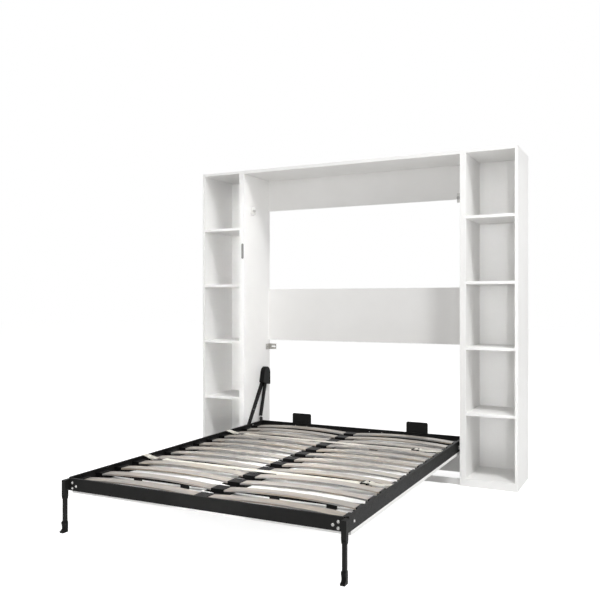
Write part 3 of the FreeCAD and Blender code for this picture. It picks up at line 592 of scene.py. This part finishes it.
def add_stitches(name, middle, spots):
    """Box stitches: short raised threads round an oblong and across it."""
    shape = bmesh.new()
    half_y = STRAP_WIDTH / 2 - STITCH_MARGIN
    for x, z, length in spots:
        half_x = length / 2
        centre = Vector((x, middle, z))
        signs = ((-1, -1), (1, -1), (1, 1), (-1, 1))
        corners = [centre + Vector((along * half_x, across * half_y, 0)) for along, across in signs]
        runs = list(zip(corners, corners[1:] + corners[:1]))
        runs += [(corners[0], corners[2]), (corners[1], corners[3])]
        for start, end in runs:
            count = max(2, round((end - start).length / STITCH))
            for part in range(count):
                first, second = (start.lerp(end, (part + share) / count) for share in (0.15, 0.85))
                add_thread(shape, first, second)
    return add_piece(name, shape, "webbing", "bed")


def add_bar(shape, points, wide, high, closed=False):
    """A rounded bar that follows points on a level, with a rounded oblong section."""
    count = len(points)
    loops = []
    for number, point in enumerate(points):
        before = points[(number - 1) % count] if closed or number else point
        after = points[(number + 1) % count] if closed or number < count - 1 else point
        along = (Vector(after) - Vector(before)).normalized()
        across = along.cross(Vector((0, 0, 1)))
        loop = []
        for step in range(BAR_SIDES):
            angle = 2 * math.pi * step / BAR_SIDES
            side = math.copysign(abs(math.cos(angle)) ** BAR_SQUARENESS, math.cos(angle)) * wide / 2
            rise = math.copysign(abs(math.sin(angle)) ** BAR_SQUARENESS, math.sin(angle)) * high / 2
            loop.append(Vector(point) + across * side + Vector((0, 0, rise)))
        loops.append(loop)
    add_loops(shape, loops, closed)


def add_ring(name, middle):
    """A wire ring with blunt corners, wider to the right, that joins two straps."""
    level = BAND_LEVEL + RING_LIFT
    near = STRAP_WIDTH / 2 + RING_NARROW
    far = STRAP_WIDTH / 2 + RING_WIDE
    corners = [
        (RING_LEFT, middle - near, level),
        (RING_RIGHT, middle - far, level),
        (RING_RIGHT, middle + far, level),
        (RING_LEFT, middle + near, level),
    ]
    shape = bmesh.new()
    add_bar(shape, cut_corners(corners, RING_CUT, closed=True), RING_WIRE, RING_WIRE, closed=True)
    return add_piece(name, shape, "plated_steel", "bed")


def add_buckle(name, x, middle):
    """A ladder buckle: two cheeks and three bars."""
    shape = bmesh.new()
    level = BAND_LEVEL + BUCKLE_LIFT
    reach = STRAP_WIDTH / 2 + BUCKLE_GAP + CHEEK / 2
    for side in (-1, 1):
        run = [(x + along, middle + side * reach, level) for along in CHEEK_RUN]
        add_bar(shape, run, CHEEK, CHEEK_HEIGHT)
    for place, wide, high, lift in BUCKLE_BARS:
        run = [(x + place, middle + share * reach, level + lift) for share in (-1, -0.4, 0.4, 1)]
        add_bar(shape, run, wide, high)
    return add_piece(name, shape, "moulded_plastic", "bed")


def anchor_route(foot):
    """Up the left rail from its foot and over it, then round the ring and back underneath."""
    outside = -BED_HALF - WEB_LIFT
    top = RAIL_TOP + WEB_LIFT
    over_rail = [
        (outside, foot + 0.0004),
        (outside, 0.252),
        (outside, top - 0.001),
        (outside + 0.0015, top),
        (-0.774, top),
        (-0.752, 0.2735),
        (-0.722, 0.2665),
    ]
    round_ring = [
        (RING_LEFT - 0.006, 0.2662),
        (RING_LEFT + WRAP, 0.2662),
        (RING_LEFT + WRAP, 0.2585),
        (RING_LEFT - 0.008, 0.2588),
        (-0.728, 0.2632),
        (-0.750, 0.2692),
    ]
    return over_rail + round_ring


def band_route(x):
    """From its sewn end round the ring, across the slats, through the buckle at x and back."""
    round_ring = [
        (-0.58, 0.2596),
        (RING_RIGHT + 0.014, 0.2590),
        (RING_RIGHT - WRAP, 0.2586),
        (RING_RIGHT - WRAP, 0.2662),
        (RING_RIGHT + 0.008, 0.2660),
        (-0.60, 0.2630),
    ]
    over_slats = [
        (-0.45, BAND_LEVEL - 0.0004),
        (-0.25, BAND_LEVEL + 0.0005),
        (0, BAND_LEVEL + 0.0003),
        (0.22, BAND_LEVEL - 0.0005),
        (0.45, BAND_LEVEL + 0.0002),
        (x - 0.05, BAND_LEVEL),
    ]
    through_buckle = [
        (x - 0.024, 0.2612),
        (x - 0.016, 0.2614),
        (x - 0.0125, 0.2692),
        (x - 0.003, 0.2708),
        (x + 0.006, 0.2692),
        (x + 0.0065, 0.2592),
        (x - 0.02, 0.2584),
        (x - 0.06, 0.2584),
    ]
    return round_ring + over_slats + through_buckle


def end_route(x):
    """From its sewn end round the buckle's last bar at x, then to the right rail and under."""
    round_bar = [
        (x + 0.06, 0.2602),
        (x + 0.026, 0.2600),
        (x + 0.0155, 0.2602),
        (x + 0.0145, 0.2704),
        (x + 0.0255, 0.2706),
        (x + 0.034, 0.2650),
        (x + 0.055, 0.2632),
    ]
    to_rail = [
        (0.72, 0.2634),
        (0.752, 0.2668),
        (0.773, 0.2722),
        (0.7838, 0.2722),
        (0.7838, 0.2602),
        (0.768, 0.2592),
        (0.735, 0.2606),
    ]
    return round_bar + to_rail


def stitch_spots(x):
    """X, Z and length of the box stitches on the three lengths of a strap."""
    return [(-0.735, 0.2722, 0.022), (-0.596, 0.2640, 0.03), (x + 0.05, 0.2645, 0.024)]


def add_straps():
    """Two mattress straps, each with a ring at the left and a buckle at the right."""
    for end, x in BUCKLE_X.items():
        low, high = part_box(end + "_strap")
        middle = (low[1] + high[1]) / 2
        routes = {"anchor_web": anchor_route(low[2]), "band_web": band_route(x), "end_web": end_route(x)}
        pieces = {part: add_ribbon(f"{end}_{part}", route, middle) for part, route in routes.items()}
        ring = add_ring(end + "_ring", middle)
        add_buckle(end + "_buckle", x, middle)
        stitches = add_stitches(end + "_stitches", middle, stitch_spots(x))
        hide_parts(end + "_strap")
    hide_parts("strap_buckles")


# Floor and light
FLOOR_HALF = 30.0
FLOOR_SINK = 0.0005
FLOOR_GLOW = 0.8
FLOOR_BOUNCE = 0.86
FLOOR_SEEN = 0.65
AMBIENT = 0.31
AMBIENT_TINT = (1.0, 0.995, 0.985, 1)
BED_BEAM = math.radians(19)
SHELF_BEAM = math.radians(6)


def add_floor():
    """A pale floor, white to the camera and in reflections, that keeps a faint shadow."""
    mesh = bpy.data.meshes.new("floor")
    shape = bmesh.new()
    bmesh.ops.create_grid(shape, x_segments=1, y_segments=1, size=FLOOR_HALF)
    shape.to_mesh(mesh)
    shape.free()
    floor = bpy.data.objects.new("floor", mesh)
    floor.location.z = -FLOOR_SINK
    bpy.context.collection.objects.link(floor)
    material = bpy.data.materials.new("pale_floor")
    material.use_nodes = True
    tree = material.node_tree
    bounced, seen = (tree.nodes.new("ShaderNodeBsdfDiffuse") for _ in range(2))
    for node, grey in ((bounced, FLOOR_BOUNCE), (seen, FLOOR_SEEN)):
        node.inputs["Color"].default_value = (grey, grey, grey, 1)
    glow = tree.nodes.new("ShaderNodeEmission")
    glow.inputs["Strength"].default_value = FLOOR_GLOW
    lit = tree.nodes.new("ShaderNodeAddShader")
    mix = tree.nodes.new("ShaderNodeMixShader")
    tree.links.new(seen.outputs["BSDF"], lit.inputs[0])
    tree.links.new(glow.outputs["Emission"], lit.inputs[1])
    tree.links.new(seen_rays(tree), mix.inputs["Fac"])
    tree.links.new(bounced.outputs["BSDF"], mix.inputs[1])
    tree.links.new(lit.outputs["Shader"], mix.inputs[2])
    tree.links.new(mix.outputs["Shader"], tree.nodes["Material Output"].inputs["Surface"])
    mesh.materials.append(material)


def seen_rays(tree):
    """One for camera, glossy and transmission rays, else zero."""
    path = tree.nodes.new("ShaderNodeLightPath")
    total = path.outputs["Is Camera Ray"]
    for name in ("Is Glossy Ray", "Is Transmission Ray"):
        larger = tree.nodes.new("ShaderNodeMath")
        larger.operation = "MAXIMUM"
        tree.links.new(total, larger.inputs[0])
        tree.links.new(path.outputs[name], larger.inputs[1])
        total = larger.outputs["Value"]
    return total


def add_world():
    """White behind the object; softer light from all round."""
    world = bpy.data.worlds.new("studio")
    world.use_nodes = True
    tree = world.node_tree
    tree.nodes.clear()
    white = tree.nodes.new("ShaderNodeBackground")
    white.inputs["Strength"].default_value = 1.0
    white.inputs["Color"].default_value = (1, 1, 1, 1)
    soft = tree.nodes.new("ShaderNodeBackground")
    soft.inputs["Strength"].default_value = AMBIENT
    soft.inputs["Color"].default_value = AMBIENT_TINT
    mix = tree.nodes.new("ShaderNodeMixShader")
    output = tree.nodes.new("ShaderNodeOutputWorld")
    tree.links.new(seen_rays(tree), mix.inputs["Fac"])
    tree.links.new(soft.outputs["Background"], mix.inputs[1])
    tree.links.new(white.outputs["Background"], mix.inputs[2])
    tree.links.new(mix.outputs["Shader"], output.inputs["Surface"])
    bpy.context.scene.world = world


def add_lamp(name, place, target, power, width, height=None, spread=math.pi):
    """A lamp aimed at a target: a round one, or an upright one where a height is given."""
    data = bpy.data.lights.new(name, "AREA")
    data.shape = "DISK"
    data.size = width
    if height:
        data.shape = "RECTANGLE"
        data.size_y = height
    data.energy = power
    data.spread = spread
    lamp = bpy.data.objects.new(name, data)
    lamp.location = place
    lamp.rotation_euler = (Vector(target) - Vector(place)).to_track_quat("-Z", "Y").to_euler()
    bpy.context.collection.objects.link(lamp)


def add_lamps():
    """A high key from the right, soft lamps all round, and narrow beams on the bed and the shelves."""
    add_lamp("key", (3.0, -1.9, 6.0), (0, 0.4, 0.9), power=183, width=1.0)
    add_lamp("overhead", (0.2, -1.2, 7.0), (0, -0.4, 0.3), power=60, width=2.0)
    add_lamp("bed_light", (0.4, -2.9, 5.2), (0, -0.3, 0.25), power=4.5, width=0.7, spread=BED_BEAM)
    add_lamp("front", (0.8, -6.5, 2.2), (0, 0.4, 1.0), power=63, width=2.0)
    add_lamp("right", (5.5, -1.5, 2.4), (0.6, 0.6, 1.0), power=54, width=2.0)
    add_lamp("back", (0.4, 7.5, 2.4), (0, 1.1, 1.1), power=55, width=3.0)
    add_lamp("left", (-6.5, 0.2, 2.2), (-1.2, 0.9, 1.1), power=40, width=2.0)
    shelf = {"height": 1.9, "spread": SHELF_BEAM}
    add_lamp("left_shelf_light", (0.7, -2.2, 1.1), (-1.05, 0.95, 1.1), power=0.9, width=0.34, **shelf)
    add_lamp("right_shelf_light", (2.1, -2.5, 1.1), (1.04, 1.0, 1.1), power=0.5, width=0.42, **shelf)


add_camera()
add_world()
add_floor()
add_lamps()
dress_nodes()
add_all_fasteners()
add_straps()

bpy.context.scene.view_settings.view_transform = "Standard"
